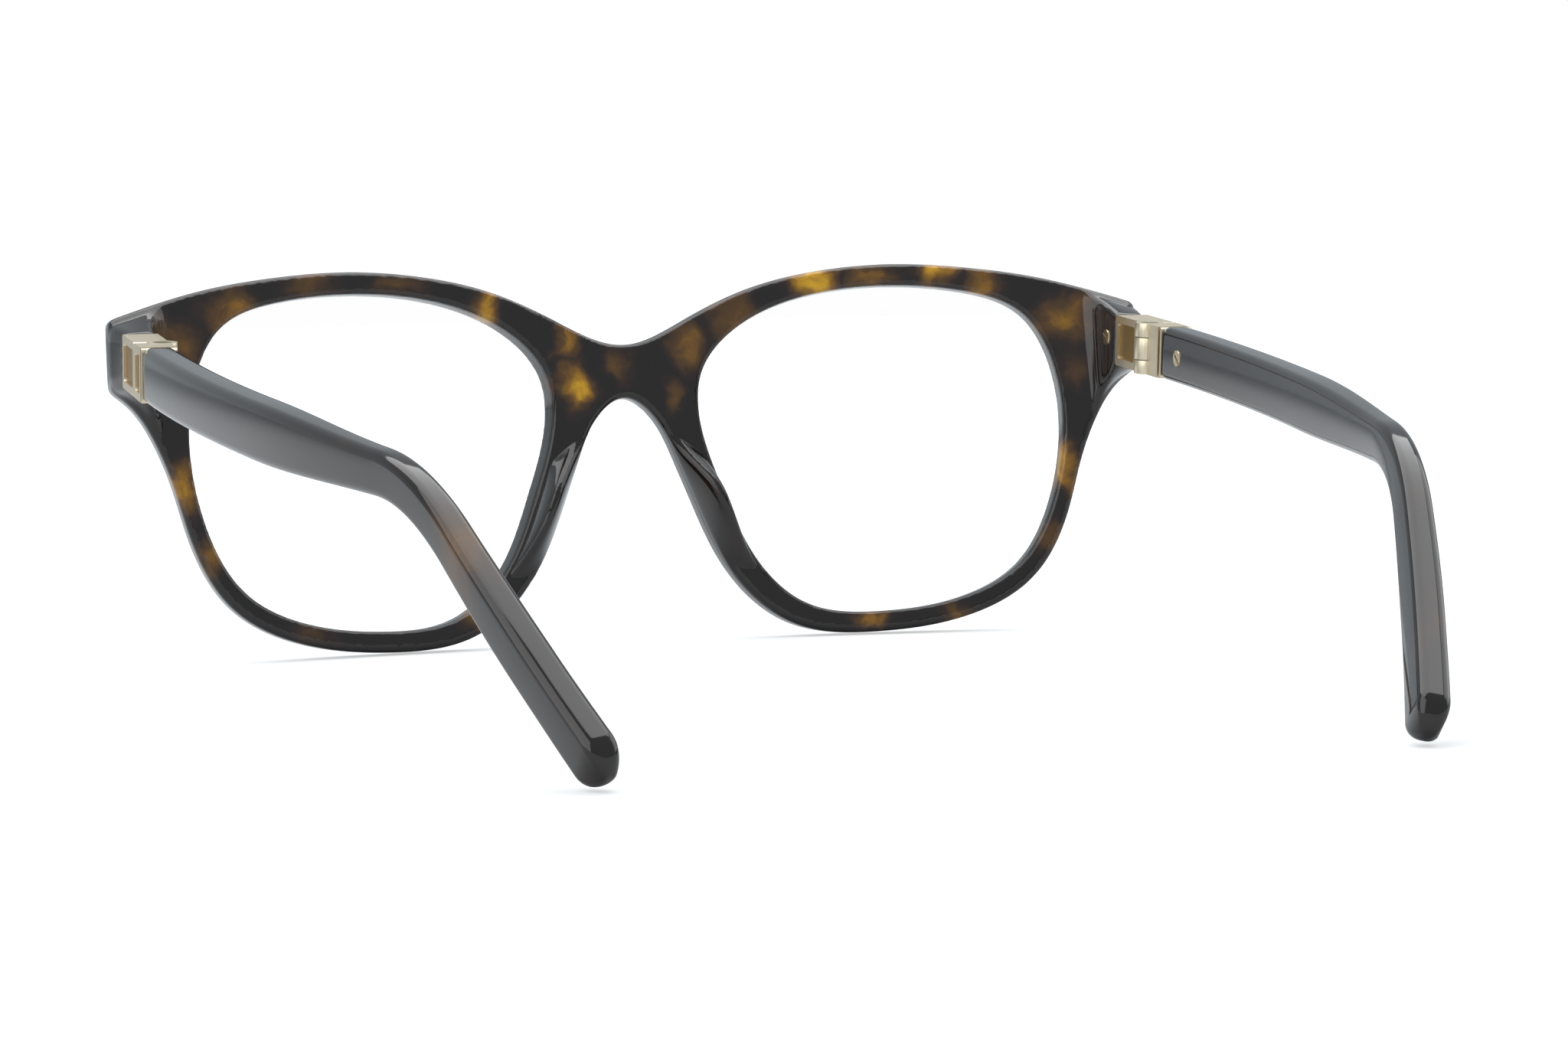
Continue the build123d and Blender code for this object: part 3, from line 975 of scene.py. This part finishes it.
    def _fill_face(self, mesher: Mesher, rings: list[np.ndarray], depth: float) -> None:
        """Fill the sheet between the outline's ring and the two openings' rings.

        Args:
            mesher: What is being drawn.
            rings: The outline's ring and the openings' rings, in space.
            depth: The face's distance in front of the rear face.
        """
        flats = [ring[:, [0, 2]] for ring in rings]
        across, up = self.frame_width / 2, self.fill_half_height
        columns, rows = (np.arange(-half, half, self.fill_spacing) for half in (across, up))
        xs, zs = np.meshgrid(columns, rows)
        grid = np.stack([xs.ravel(), zs.ravel()], axis=1)
        edge = np.vstack(flats)
        grid = grid[self._in_sheet(grid, flats)]
        near = np.array([np.min(np.sum((edge - p) ** 2, axis=1)) for p in grid])
        grid = grid[near > self.fill_clear ** 2]
        points = np.vstack([*flats, grid])
        edges, start = [], 0
        for flat in flats:
            size = len(flat)
            edges += [(start + k, start + (k + 1) % size) for k in range(size)]
            start += size
        found = delaunay_2d_cdt([Vector(p) for p in points], edges, [], 0, 1e-5)
        flat = np.array([tuple(v) for v in found[0]])
        numbers = mesher.ring(np.stack([flat[:, 0], self.back_at(flat[:, 0], depth), flat[:, 1]], axis=1))
        triangles = np.array([face for face in found[2] if len(face) == 3])
        keep = self._in_sheet(flat[triangles].mean(axis=1), flats)
        mesher.faces += [tuple(int(numbers[k]) for k in face) for face in triangles[keep]]

    @staticmethod
    def _in_sheet(points: np.ndarray, flats: list[np.ndarray]) -> np.ndarray:
        """Which points lie between the outline and the openings."""
        inside = lies_inside(points, flats[0])
        for hole in flats[1:]:
            inside &= ~lies_inside(points, hole)
        return inside

    def _draw_plate(self, mesher: Mesher) -> None:
        """Draw the curved plate with its two openings.

        Args:
            mesher: What is being drawn.
        """
        profile = self._edge_profile(self.edge_round)
        loops = [[self._walled_ring(self.outline(), i, d, 0.0) for i, d in profile]]
        for side in Side:
            slant = side.value * math.tan(self.lens_tilt)
            profile = self._edge_profile(self.opening_round)
            loops.append([self._walled_ring(self.opening(side), -i, d, slant) for i, d in profile])
        for rings in loops:
            mesher.skin([mesher.ring(ring) for ring in rings])
        self._fill_face(mesher, [rings[0] for rings in loops], 0.0)
        self._fill_face(mesher, [rings[-1] for rings in loops], self.thickness)

    def mesh(self, end_piece: "EndPiece") -> bpy.types.Mesh:
        """Plate and end pieces as one polished mesh.

        Args:
            end_piece: How the end pieces are shaped.

        Returns:
            The mesh, in millimetres.
        """
        mesher = Mesher()
        self._draw_plate(mesher)
        for side in Side:
            mesher.loft(end_piece.sections(self, side))
        fused = melted(mesher.mesh("front"), self.voxel, self.passes)
        self._true_faces(fused)
        return fused

    def _true_faces(self, mesh: bpy.types.Mesh) -> None:
        """Set points beside the front's two big faces exactly on them.

        Args:
            mesh: The fused mesh, changed in place.
        """
        size = len(mesh.vertices)
        flat = np.zeros(size * 3)
        mesh.vertices.foreach_get("co", flat)
        points = flat.reshape(-1, 3)
        radius = np.hypot(points[:, 0], self.wrap_radius - points[:, 1])
        plain = np.abs(points[:, 0]) < self.lens_x + self.half_width + self.rim_side
        for depth in (0.0, self.thickness):
            off = radius - (self.wrap_radius + depth)
            near = (np.abs(off) < self.snap) & plain
            scale = ((self.wrap_radius + depth) / radius)[near, None]
            centre = np.array([0.0, self.wrap_radius])
            points[near, :2] = centre + (points[near, :2] - centre) * scale
        mesh.vertices.foreach_set("co", points.ravel())
        mesh.update()


@dataclass
class EndPiece:
    """The acetate that turns back from the front to the hinge."""

    half_length: float = 9.6
    height: float = 6.8
    inner: float = -0.9
    outer: float = 3.5
    blend: float = 3.4
    corner: float = 0.8
    inset: float = 0.05
    end_inset: float = 0.02
    rooted: float = 0.75
    stations: int = 41
    columns: int = 25

    def sections(self, front: Front, side: Side) -> list[np.ndarray]:
        """Sections from inside the front back to the hinge.

        Args:
            front: The front it grows from.
            side: Which side it is on.

        Returns:
            The sections, in the drawing frame.
        """
        outline = front.outline()
        end = front.frame_width / 2
        edge = float(front.back_at(end))
        start = edge - self.rooted * front.thickness
        low, high = self._hinge_edge(-1), self._hinge_edge(1)
        inner, outer = HINGE_PIN[0] + self.inner, HINGE_PIN[0] + self.outer
        rows = []
        for t in np.linspace(0.0, 1.0, self.stations):
            y_low, y_high = start + t * (low[0] - start), start + t * (high[0] - start)
            middle = (y_low + y_high) / 2
            taper = min(max((middle - edge) / (low[0] - edge), 0.0), 1.0)
            x_out = end + taper * (outer - end) - self.end_inset
            x = np.linspace(inner - self._flare(front, middle), x_out, self.columns)
            drop = self._corner_drop(x)
            top, bottom = self._limits(outline, x)
            z_high = top + t * (high[1] - top) - drop
            z_low = bottom + t * (low[1] - bottom) + drop
            across, up = np.r_[x, x[::-1]], np.r_[z_low, z_high[::-1]]
            share = (up - low[1]) / (high[1] - low[1])
            rows.append(np.stack([across * side.value, y_low + share * (y_high - y_low), up], axis=1))
        return rows

    def _corner_drop(self, x: np.ndarray) -> np.ndarray:
        """How far the rounded corners take the top down at each place across."""
        near = np.maximum(self.corner - np.minimum(x - x[0], x[-1] - x), 0.0)
        return self.corner - np.sqrt(self.corner ** 2 - near ** 2)

    def _limits(self, outline: np.ndarray, x: np.ndarray) -> tuple[np.ndarray, np.ndarray]:
        """The front's upper and lower edges at places across.

        Args:
            outline: The front's outline.
            x: The places.

        Returns:
            The heights of both edges there.
        """
        beside = outline[outline[:, 0] > HINGE_PIN[0] - 3 * self.blend]
        rows = []
        for half in (beside[beside[:, 1] > HINGE_PIN[2]], beside[beside[:, 1] < HINGE_PIN[2]]):
            half = half[np.argsort(half[:, 0])]
            rows.append(np.interp(x, half[:, 0], half[:, 1]))
        return rows[0] - self.inset, rows[1] + self.inset

    def _flare(self, front: Front, y: float) -> float:
        """How much the inner side flares out near the front.

        Args:
            front: The front it grows from.
            y: How far back the section lies.

        Returns:
            The flare.
        """
        inner = HINGE_PIN[0] + self.inner
        foot = float(front.back_at(inner - self.blend))
        rise = float(front.back_at(inner)) + self.blend - foot
        left = min(max((foot + rise - y) / rise, 0.0), 1.0)
        return self.blend * (1.0 - math.sqrt(1.0 - left ** 2))

    def _hinge_edge(self, sign: int) -> tuple[float, float]:
        """Where the hinge block's front face begins, at its lower or upper edge.

        Args:
            sign: -1 for the lower edge, 1 for the upper.

        Returns:
            Its y and z.
        """
        angle = math.radians(TEMPLE_SLOPE)
        y, z = -self.half_length, sign * self.height / 2
        return (
            HINGE_PIN[1] + y * math.cos(angle) + z * math.sin(angle),
            HINGE_PIN[2] - y * math.sin(angle) + z * math.cos(angle),
        )


@dataclass
class NosePad:
    """A nose pad built up in acetate on the rear of the rim."""

    top: float = 4.6
    bottom: float = -16.5
    stand: float = 5.2
    margin: float = 0.5
    crest: float = 0.70
    skew: float = 5.0
    steepness: float = 1.4
    nose_margin: float = 0.05
    rooted: float = 0.3
    sunk: float = 0.9
    lens_clear: float = 4.0
    half_stations: int = 24
    columns: int = 25
    voxel: float = 0.25
    passes: int = 10

    def mesh(self, front: Front, side: Side) -> bpy.types.Mesh:
        """Draw the pad.

        Args:
            front: The front that it is bonded to.
            side: Which side it is on.

        Returns:
            The mesh, in millimetres.
        """
        outline, opening = front.outline(), front.opening(Side.LEFT)
        beside = (outline[:, 0] > 0) & (outline[:, 0] < front.lens_x - self.lens_clear)
        outer = outline[beside & (outline[:, 1] < front.bridge_under)]
        inner = opening[opening[:, 0] < front.lens_x]
        outer = outer[np.argsort(outer[:, 1])]
        inner = inner[np.argsort(inner[:, 1])]
        chord = (self.top - self.bottom) / 2
        middle = (self.top + self.bottom) / 2
        shares = np.linspace(0.0, 1.0, self.columns)
        mesher, sections = Mesher(), []
        for k in range(2 * self.half_stations + 1):
            along = 0.998 * math.sin(math.pi / 2 * (k / self.half_stations - 1))
            z = middle + chord * along
            nose = float(np.interp(z, outer[:, 1], outer[:, 0])) + self.nose_margin
            lens = float(np.interp(z, inner[:, 1], inner[:, 0])) - self.margin
            x = nose + (lens - nose) * shares
            back = front.back_at(x) - self.rooted
            reach = chord - self.skew * shares if along > 0 else np.full(len(shares), chord)
            near = 1.0 - np.minimum(chord * abs(along) / reach, 1.0) ** 2
            hump = back + self.stand * near ** self.steepness * self._profile(shares)
            sunk = back - self.sunk
            ring = np.stack([np.r_[x, x[::-1]] * side.value, np.r_[sunk, hump[::-1]]], axis=1)
            sections.append(np.column_stack([ring, np.full(len(ring), z)]))
        mesher.loft(sections)
        return melted(mesher.mesh("nose_pad"), self.voxel, self.passes)

    def _profile(self, shares: np.ndarray) -> np.ndarray:
        """The pad's height across it, rising slowly from the nose to a crest beside the lens."""
        rise = np.sin(math.pi / 2 * np.clip(shares / self.crest, 0.0, 1.0)) ** 0.8
        fall = np.sqrt(1.0 - np.clip((shares - self.crest) / (1.0 - self.crest), 0.0, 1.0) ** 2)
        return rise * fall


@dataclass
class Temple:
    """An acetate temple, from the hinge to its tip."""

    start: float = 6.4
    length: float = 138.0
    straight: float = 90.0
    drop: float = 37.8
    bend: float = 26.0
    thickness: float = 4.2
    height: float = 7.0
    curve: float = 23.8
    corner: float = 1.1
    middle: float = 1.3
    thinning: float = 0.75
    butt: tuple[tuple[float, float], ...] = ((0.01, 0.93), (0.10, 0.975))
    butt_length: float = 0.35
    rings: int = 150
    tip_rings: int = 16
    corner_points: int = 9
    stations: tuple[tuple[float, float, float], ...] = (
        (0.0, 1.0, 1.0), (0.41, 0.97, 1.0), (0.70, 0.70, 0.76), (0.90, 0.83, 0.84), (1.0, 0.86, 0.86),
    )

    def centre(self, u: float) -> np.ndarray:
        """A point on the temple's middle line, from the pin.

        Args:
            u: Distance along it.

        Returns:
            The point, before the temple's slope is given.
        """
        drop = math.radians(self.drop)
        turned = min(max((u - self.straight) / self.bend, 0.0), drop)
        rest = max(u - self.straight - self.bend * drop, 0.0)
        y = min(u, self.straight) + self.bend * math.sin(turned) + rest * math.cos(drop)
        z = -self.bend * (1 - math.cos(turned)) - rest * math.sin(drop)
        return np.array([self.middle - self.curve * (u / self.length) ** 2, y, z])

    def size(self, u: float) -> tuple[float, float]:
        """Height and thickness there.

        Args:
            u: Distance along the temple.

        Returns:
            Both sizes.
        """
        share = u / self.length
        before = [row for row in self.stations if row[0] <= share][-1]
        after = [row for row in self.stations if row[0] >= share][0]
        part = (share - before[0]) / max(after[0] - before[0], 0.001)
        ease = (1 - math.cos(math.pi * part)) / 2
        tall = before[1] + (after[1] - before[1]) * ease
        thick = before[2] + (after[2] - before[2]) * ease
        return tall * self.height, thick * self.thickness

    def _section(self, u: float, shrink: float) -> np.ndarray:
        """One section square to the temple.

        Args:
            u: Distance along it.
            shrink: Share of its size that is left, below 1 at the ends.

        Returns:
            Its points round the pin.
        """
        along = self.centre(u + 0.5) - self.centre(u - 0.5)
        along /= np.linalg.norm(along)
        across = np.array([1.0, 0.0, 0.0]) - along * along[0]
        across /= np.linalg.norm(across)
        up = np.cross(across, along)
        tall, thick = self.size(u)
        thin = 1.0 - self.thinning * (1.0 - shrink)
        flat = rounded_box(thick * thin, tall * shrink, self.corner, self.corner_points)
        return self.centre(u) + flat[:, :1] * across + flat[:, 1:] * up

    def mesh(self, side: Side) -> bpy.types.Mesh:
        """Draw the temple.

        Args:
            side: Which side it is on.

        Returns:
            The mesh, in millimetres.
        """
        radius = self.size(self.length)[0] / 2
        body = np.linspace(self.start + self.butt_length, self.length - radius, self.rings)
        turns = np.linspace(0.05, math.pi / 2 - 0.02, self.tip_rings)
        tip = [self.length - radius * (1 - math.sin(a)) for a in turns]
        stations = [(self.start + u, shrink) for u, shrink in self.butt]
        stations += [(float(u), 1.0) for u in body]
        stations += [(u, math.sqrt(1 - ((u - self.length + radius) / radius) ** 2)) for u in tip]
        cos, sin = math.cos(math.radians(TEMPLE_SLOPE)), math.sin(math.radians(TEMPLE_SLOPE))
        turn = np.array([[1, 0, 0], [0, cos, sin], [0, -sin, cos]])
        mirror = np.array([side.value, 1.0, 1.0])
        mesher = Mesher()
        mesher.loft([(self._section(u, s) @ turn.T + np.array(HINGE_PIN)) * mirror for u, s in stations])
        return mesher.mesh("temple")


# ---------------------------------------------------------------- assemblies


@dataclass
class FrontAssembly:
    """Front, pads, lenses and the hinge halves that stay with them."""

    nodes: dict[str, bpy.types.Object]
    standing: Standing
    front: Front = field(default_factory=Front)
    end_piece: EndPiece = field(default_factory=EndPiece)
    pad: NosePad = field(default_factory=NosePad)

    def build(self, finishes: dict[str, bpy.types.Material]) -> list[str]:
        """Build and dress every piece of the front.

        Args:
            finishes: The materials by slot.

        Returns:
            The names of the pieces.
        """
        made = [self._acetate(finishes["acetate"])]
        for side in Side:
            made.append(self._pad(side, finishes["pad_acetate"]))
            for node, slot in (("lens", "lens"), ("front_hinge_half", "gilt_metal"),
                               ("hinge_screw", "gilt_screw"), ("end_piece_screw", "gilt_screw")):
                made.append(dress_node(self.nodes, f"{node}_{side.word}", finishes[slot]))
        return made

    def _acetate(self, material: bpy.types.Material) -> str:
        """Make the polished acetate front."""
        piece = put_in_scene(self.front.mesh(self.end_piece), "acetate_front", self.standing, material)
        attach(piece, "front")
        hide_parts("front_frame")
        return piece.name

    def _pad(self, side: Side, material: bpy.types.Material) -> str:
        """Make one nose pad."""
        mesh = self.pad.mesh(self.front, side)
        piece = put_in_scene(mesh, f"acetate_pad_{side.word}", self.standing, material)
        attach(piece, "front")
        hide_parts(f"nose_pad_{side.word}")
        return piece.name


@dataclass
class TempleAssembly:
    """One temple with its hinge half, screw and core wire."""

    nodes: dict[str, bpy.types.Object]
    standing: Standing
    side: Side
    temple: Temple = field(default_factory=Temple)

    def build(self, finishes: dict[str, bpy.types.Material]) -> list[str]:
        """Build and dress every piece of this temple.

        Args:
            finishes: The materials by slot.

        Returns:
            The names of the pieces.
        """
        word = self.side.word
        mesh, material = self.temple.mesh(self.side), finishes["temple_acetate"]
        piece = put_in_scene(mesh, f"acetate_temple_{word}", self.standing, material)
        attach(piece, self.side.body)
        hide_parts(f"temple_{word}")
        made = [piece.name]
        for node, slot in (("temple_hinge_half", "gilt_metal"), ("temple_screw", "gilt_screw"),
                           ("core_wire", "core_metal")):
            made.append(dress_node(self.nodes, f"{node}_{word}", finishes[slot]))
        return made


def dress_node(nodes: dict[str, bpy.types.Object], name: str, material: bpy.types.Material) -> str:
    """Finish a carried-over CAD node and break its sharp edges.

    Args:
        nodes: The CAD nodes.
        name: Which one.
        material: Its finish.

    Returns:
        The node's name.
    """
    node = nodes[name]
    if node.material_slots:
        for slot in node.material_slots:
            slot.material = material
    else:
        node.data.materials.append(material)
    if "lens" not in name and "core_wire" not in name:
        soften(node, (HINGE_BREAK if "half" in name else SCREW_BREAK) * MM)
    return name


def soften(node: bpy.types.Object, width: float) -> None:
    """Break a metal piece's sharp edges.

    Args:
        node: The piece.
        width: How wide the broken edge is.
    """
    weld = node.modifiers.new("weld", "WELD")
    weld.merge_threshold = WELD_REACH * MM
    bevel = node.modifiers.new("broken_edges", "BEVEL")
    bevel.width = width
    bevel.segments = 2
    bevel.limit_method = "ANGLE"
    bevel.angle_limit = math.radians(BREAK_ANGLE)
    bevel.harden_normals = True


# ---------------------------------------------------------------- studio


@dataclass(frozen=True)
class Softbox:
    """One large studio light, aimed at the middle of the object's footprint."""

    name: str
    place: tuple[float, float, float]
    size: tuple[float, float]
    watts: float


@dataclass
class Studio:
    """Pale floor, soft light and the camera."""

    standing: Standing
    camera_place: tuple[float, float, float] = (143.4, 524.3, -27.3)
    look: tuple[float, float, float] = (-0.2998, -0.9535, 0.0321)
    right: tuple[float, float, float] = (-0.9534, 0.2982, -0.0450)
    lens_mm: float = 92.84
    sensor_mm: float = 36.0
    floor_reach: float = 3.0
    room_colour: Colour = (0.60, 0.66, 0.70)
    room_strength: float = 0.66
    softboxes: tuple[Softbox, ...] = (
        Softbox("overhead", (0.0, -0.3, 1.1), (1.6, 1.3), 13.0),
        Softbox("left_side", (1.1, 0.25, 0.6), (1.4, 1.4), 8.0),
        Softbox("right_side", (-1.2, -0.1, 0.7), (1.2, 1.2), 5.0),
    )

    def build(self) -> None:
        """Set up floor, lights, surroundings and camera."""
        self._floor()
        for box in self.softboxes:
            self._light(box)
        self._surroundings()
        self._camera()

    def _floor(self) -> None:
        """A wide flat paper floor that shows the object's shadow on plain white."""
        reach = self.floor_reach
        corners = [(-reach, -reach, 0.0), (reach, -reach, 0.0), (reach, reach, 0.0), (-reach, reach, 0.0)]
        mesh = bpy.data.meshes.new("paper")
        mesh.from_pydata(corners, [], [(0, 1, 2, 3)])
        paper = bpy.data.objects.new("paper", mesh)
        bpy.context.scene.collection.objects.link(paper)
        mesh.materials.append(StudioPaper().material())

    @staticmethod
    def _light(box: Softbox) -> None:
        """Hang one softbox.

        Args:
            box: Its place, size and power.
        """
        lamp = bpy.data.lights.new(box.name, "AREA")
        lamp.shape = "RECTANGLE"
        lamp.size, lamp.size_y = box.size
        lamp.energy = box.watts
        holder = bpy.data.objects.new(box.name, lamp)
        holder.location = box.place
        holder.rotation_euler = (-Vector(box.place)).to_track_quat("-Z", "Y").to_euler()
        bpy.context.scene.collection.objects.link(holder)

    def _surroundings(self) -> None:
        """Soft grey light from all round, and a pale wall where the camera sees past the paper."""
        bpy.context.scene.view_settings.view_transform = "Standard"
        world = bpy.data.worlds.new("studio")
        bpy.context.scene.world = world
        world.use_nodes = True
        tree = world.node_tree
        tree.nodes.clear()
        path = tree.nodes.new("ShaderNodeLightPath")
        room, wall = tree.nodes.new("ShaderNodeBackground"), tree.nodes.new("ShaderNodeBackground")
        room.inputs[0].default_value = (*self.room_colour, 1.0)
        room.inputs[1].default_value = self.room_strength
        wall.inputs[0].default_value = (1.0, 1.0, 1.0, 1.0)
        wall.inputs[1].default_value = 1.0
        both, out = tree.nodes.new("ShaderNodeMixShader"), tree.nodes.new("ShaderNodeOutputWorld")
        tree.links.new(path.outputs["Is Camera Ray"], both.inputs[0])
        tree.links.new(room.outputs[0], both.inputs[1])
        tree.links.new(wall.outputs[0], both.inputs[2])
        tree.links.new(both.outputs[0], out.inputs[0])

    def _camera(self) -> None:
        """Set the camera at its measured place."""
        cos, sin = math.cos(self.standing.lean), math.sin(self.standing.lean)

        def leaned(v: tuple[float, float, float]) -> Vector:
            """A direction of the drawing frame in the model's frame."""
            return Vector((v[0], v[1] * cos - v[2] * sin, v[1] * sin + v[2] * cos)).normalized()

        look, right = leaned(self.look), leaned(self.right)
        up = right.cross(look).normalized()
        place = self.standing.place(np.array([self.camera_place]))[0]
        lens = bpy.data.cameras.new("camera")
        lens.lens = self.lens_mm
        lens.sensor_width = self.sensor_mm
        lens.clip_start = 0.01
        eye = bpy.data.objects.new("camera", lens)
        bpy.context.scene.collection.objects.link(eye)
        matrix = eye.matrix_world.copy()
        for column, vector in enumerate((right, up, -look, place)):
            for row in range(3):
                matrix[row][column] = vector[row]
        eye.matrix_world = matrix
        bpy.context.scene.camera = eye


def main() -> None:
    """Build the whole object and its studio."""
    logging.basicConfig(level=logging.INFO, format="%(message)s")
    nodes = frame["nodes"]
    standing = Standing.from_record(frame["joints"])
    finishes = {
        "acetate": Tortoiseshell("havana_front", FRONT_PATCHES, 0.12).material(),
        "temple_acetate": Tortoiseshell("havana_temple", (), 0.42, 0.01).material(),
        "pad_acetate": Tortoiseshell("havana_pad", FRONT_PATCHES, 0.15).material(),
        "gilt_metal": Gilt("champagne_gilt", Polish.SATIN).material(),
        "gilt_screw": Gilt("bright_gilt", Polish.BRIGHT, (0.78, 0.64, 0.40)).material(),
        "core_metal": Gilt("core_wire_metal", Polish.DRAWN, (0.70, 0.69, 0.66)).material(),
        "lens": ClearLens().material(),
    }
    assemblies = [FrontAssembly(nodes, standing)]
    assemblies += [TempleAssembly(nodes, standing, side) for side in Side]
    for assembly in assemblies:
        for name in assembly.build(finishes):
            LOG.info("%s: %s", type(assembly).__name__, name)
    Studio(standing).build()


if __name__ == "__main__":
    main()
